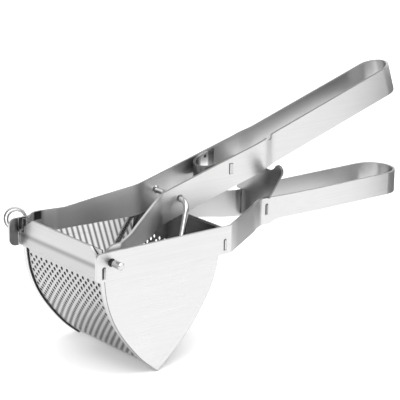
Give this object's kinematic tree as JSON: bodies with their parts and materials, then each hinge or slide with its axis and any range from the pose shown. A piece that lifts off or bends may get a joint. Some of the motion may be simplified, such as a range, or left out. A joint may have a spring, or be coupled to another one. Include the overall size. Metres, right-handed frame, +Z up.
{
  "type": "potato ricer",
  "caption": "lever press with a V-shaped perforated hopper in a two-arm strip frame, looped lever, hinged press plate and pull-out hinge pin",
  "frame": {"origin": "middle of the frame's handle loop, where one hand holds the tool", "axes": "+X from the hopper along the tool to the handle end, +Y across the tool towards the pull ring, +Z up with the hopper's ridge pointing down"},
  "size_m": [0.2987, 0.1211, 0.1686],
  "materials": {
    "frame_band": "fine brushed stainless steel",
    "front_tie": "fine brushed stainless steel",
    "rear_tie": "fine brushed stainless steel",
    "stop_plate": "fine brushed stainless steel",
    "hopper_side_near": "fine brushed stainless steel",
    "hopper_side_far": "fine brushed stainless steel",
    "hopper_front_sheet": "fine brushed stainless steel",
    "hopper_rear_sheet": "fine brushed stainless steel",
    "lever_band": "fine brushed stainless steel",
    "lever_bridge": "fine brushed stainless steel",
    "press_bail": "polished wire",
    "press_plate": "fine brushed stainless steel",
    "press_lug_near": "fine brushed stainless steel",
    "press_lug_far": "fine brushed stainless steel",
    "hinge_pin": "polished wire",
    "pull_ring": "polished wire"
  },
  "bodies": {
    "frame": {"frame_band": "frame_band", "front_tie": "front_tie", "rear_tie": "rear_tie", "stop_plate": "stop_plate", "hopper_side_near": "hopper_side_near", "hopper_side_far": "hopper_side_far", "hopper_front_sheet": "hopper_front_sheet", "hopper_rear_sheet": "hopper_rear_sheet"},
    "lever": {"lever_band": "lever_band", "lever_bridge": "lever_bridge"},
    "press": {"press_bail": "press_bail", "press_plate": "press_plate", "press_lug_near": "press_lug_near", "press_lug_far": "press_lug_far"},
    "pin": {"hinge_pin": "hinge_pin"},
    "ring": {"pull_ring": "pull_ring"}
  },
  "joints": [
    {"name": "lever_hinge", "type": "hinge", "parent": "frame", "child": "lever", "pos_m": [-0.2333, 0, 0.001], "axis": [0, -1, 0], "range_deg": [0, 90]},
    {"name": "press_swing", "type": "hinge", "parent": "lever", "child": "press", "pos_m": [-0.1526, 0, 0.0208], "axis": [0, -1, 0], "range_deg": [-27, 0]},
    {"name": "pin_slide", "type": "slide", "parent": "frame", "child": "pin", "axis": [0, 1, 0], "range_m": [0, 0.115]},
    {"name": "ring_swing", "type": "hinge", "parent": "pin", "child": "ring", "pos_m": [-0.2333, 0.0512, 0.001], "axis": [-0.5931, 0.1722, -0.7865], "range_deg": [0, 60]}
  ],
  "couplings": [
    {"joint": "press_swing", "follows": "lever_hinge", "ratio": -0.3}
  ]
}
